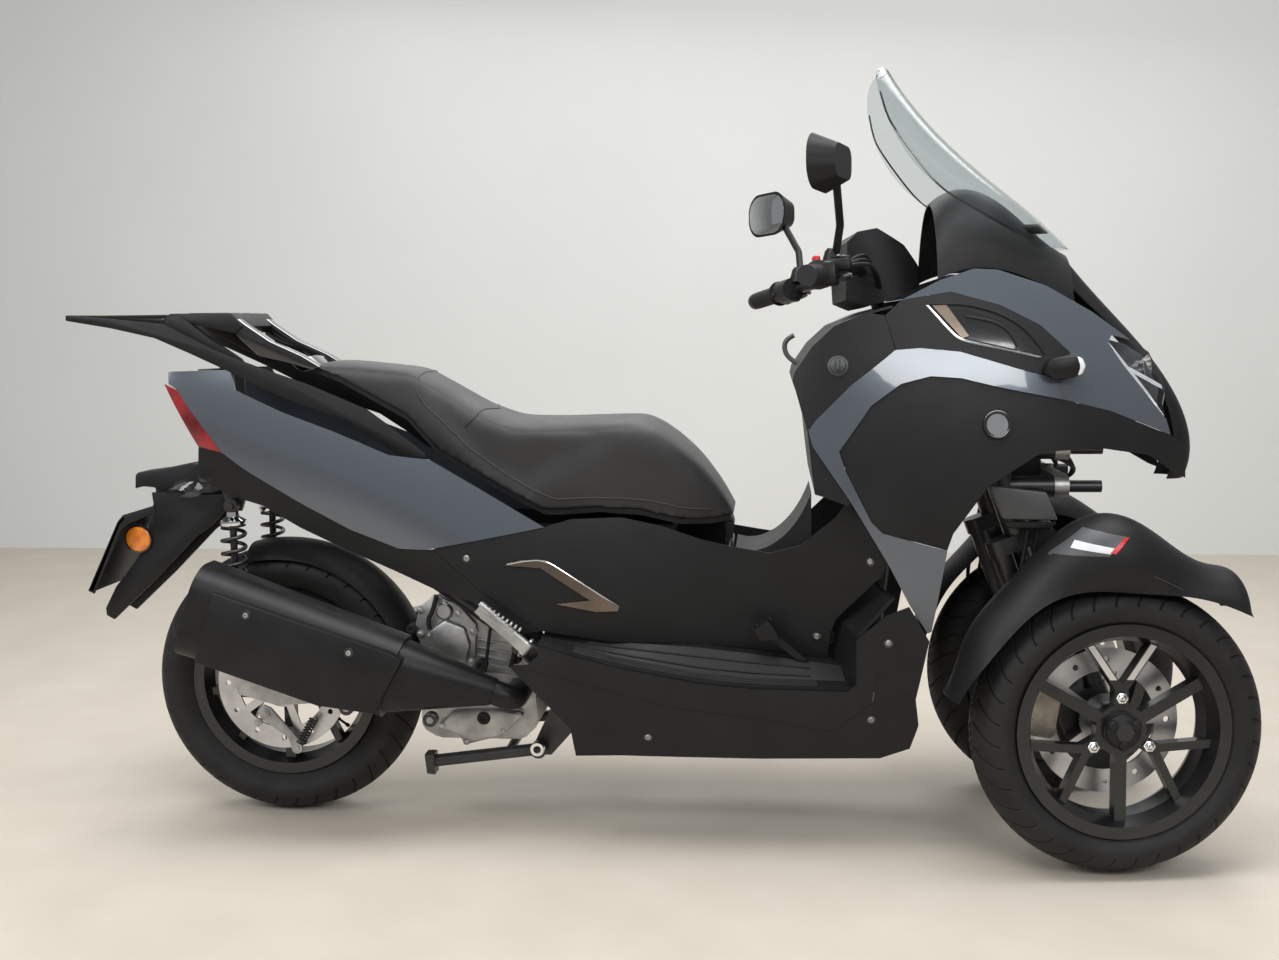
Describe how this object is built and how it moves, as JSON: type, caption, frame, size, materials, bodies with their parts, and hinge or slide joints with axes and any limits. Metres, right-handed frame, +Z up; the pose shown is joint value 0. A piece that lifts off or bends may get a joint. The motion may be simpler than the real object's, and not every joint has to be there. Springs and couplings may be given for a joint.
{
  "type": "three-wheeled tilting scooter",
  "caption": "Motorized trike: a large tilting scooter with paired steered front wheels, one driven rear wheel, a stepped saddle, a tall screen and a rear rack.",
  "frame": {"origin": "on the ground, under the middle of the vehicle's length and width", "axes": "+X forward, +Y to the rider's left, +Z up"},
  "size_m": [2.2714, 0.8079, 1.464],
  "materials": {
    "tyre": "worn rubber",
    "wheel_black": "satin black",
    "disc_steel": "brushed",
    "frame_black": "satin black",
    "caliper_alloy": "anodised",
    "matte_black": "textured",
    "cast_alloy": "cast",
    "shock_steel": "polished",
    "muffler_black": "satin",
    "body_paint": "glossy blue-grey",
    "red_lens": "clear red",
    "bronze_trim": "metallic",
    "clear_lens": "clear",
    "clear_screen": "clear, lightly tinted",
    "seat_vinyl": "grained vinyl",
    "rack_grey": "satin"
  },
  "bodies": {
    "vehicle": {"kingpin_pillars": "frame_black", "tilt_arms": "cast_alloy", "frame": "frame_black", "engine_block": "cast_alloy", "drive_case": "cast_alloy", "swing_arm": "cast_alloy", "rear_shocks": "shock_steel", "muffler": "muffler_black", "underseat_tub": "matte_black", "rear_hugger": "matte_black", "tail_panels": "body_paint", "tail_lamp": "red_lens", "tail_trim": "matte_black", "side_covers": "matte_black", "side_chevrons": "bronze_trim", "lower_skirts": "matte_black", "floorboards": "matte_black", "tunnel_cover": "matte_black", "boomerang_panels": "body_paint", "front_side_panels": "matte_black", "upper_cowl": "body_paint", "side_intakes": "matte_black", "headlamps": "clear_lens", "nose_beak": "body_paint", "screen_cowl": "matte_black", "windscreen": "clear_screen", "leg_shield": "matte_black", "rear_rack": "rack_grey", "plate_holder": "matte_black", "indicator_lamps": "clear_lens", "brake_pedal": "cast_alloy"},
    "handlebar": {"handlebar": "frame_black", "bar_cover": "matte_black", "bar_controls": "matte_black", "mirrors": "matte_black"},
    "fork_right": {"fork_right": "frame_black", "caliper_right": "caliper_alloy", "front_fender_right": "matte_black"},
    "fork_left": {"fork_left": "frame_black", "caliper_left": "caliper_alloy", "front_fender_left": "matte_black"},
    "front_wheel_right": {"front_tyre_right": "tyre", "front_rim_right": "wheel_black", "front_disc_right": "disc_steel"},
    "front_wheel_left": {"front_tyre_left": "tyre", "front_rim_left": "wheel_black", "front_disc_left": "disc_steel"},
    "rear_wheel": {"rear_tyre": "tyre", "rear_rim": "wheel_black", "rear_disc": "disc_steel"},
    "seat": {"seat_base": "matte_black", "seat_cushion": "seat_vinyl"},
    "centre_stand": {"centre_stand": "frame_black"},
    "side_stand": {"side_stand": "frame_black"},
    "peg_right": {"peg_right": "cast_alloy"},
    "peg_left": {"peg_left": "cast_alloy"}
  },
  "joints": [
    {"name": "rear_wheel_spin", "type": "hinge", "parent": "vehicle", "child": "rear_wheel", "pos_m": [-0.725, 0, 0.2758], "axis": [0, 1, 0], "continuous": true},
    {"name": "steering", "type": "hinge", "parent": "vehicle", "child": "handlebar", "pos_m": [0.46, 0, 1.04], "axis": [-0.342, 0, 0.9397], "range_deg": [-38, 22]},
    {"name": "kingpin_right", "type": "hinge", "parent": "vehicle", "child": "fork_right", "pos_m": [0.84091, -0.147, 0.25303], "axis": [-0.342, 0, 0.9397], "range_deg": [-38, 22]},
    {"name": "front_wheel_right_spin", "type": "hinge", "parent": "fork_right", "child": "front_wheel_right", "pos_m": [0.87627, -0.23058, 0.2659], "axis": [-0.1308, 0.9903, -0.0476], "continuous": true},
    {"name": "kingpin_left", "type": "hinge", "parent": "vehicle", "child": "fork_left", "pos_m": [0.84091, 0.147, 0.25303], "axis": [-0.342, 0, 0.9397], "range_deg": [-38, 22]},
    {"name": "front_wheel_left_spin", "type": "hinge", "parent": "fork_left", "child": "front_wheel_left", "pos_m": [0.85326, 0.23771, 0.25753], "axis": [-0.1308, 0.9903, -0.0476], "continuous": true},
    {"name": "seat_hinge", "type": "hinge", "parent": "vehicle", "child": "seat", "pos_m": [0.18, 0, 0.6], "axis": [0, 1, 0], "range_deg": [0, 50]},
    {"name": "centre_stand_hinge", "type": "hinge", "parent": "vehicle", "child": "centre_stand", "pos_m": [-0.192, 0, 0.166], "axis": [0, -1, 0], "range_deg": [0, 86]},
    {"name": "side_stand_hinge", "type": "hinge", "parent": "vehicle", "child": "side_stand", "pos_m": [-0.085, 0.15, 0.2], "axis": [0, -1, 0], "range_deg": [0, 70]},
    {"name": "peg_right_hinge", "type": "hinge", "parent": "vehicle", "child": "peg_right", "pos_m": [-0.195, -0.222, 0.392], "axis": [0.6633, 0, 0.7483], "range_deg": [0, 90]},
    {"name": "peg_left_hinge", "type": "hinge", "parent": "vehicle", "child": "peg_left", "pos_m": [-0.195, 0.222, 0.392], "axis": [-0.6633, 0, -0.7483], "range_deg": [0, 90]}
  ],
  "couplings": [
    {"joint": "kingpin_right", "follows": "steering", "ratio": 1},
    {"joint": "kingpin_left", "follows": "steering", "ratio": 1}
  ]
}
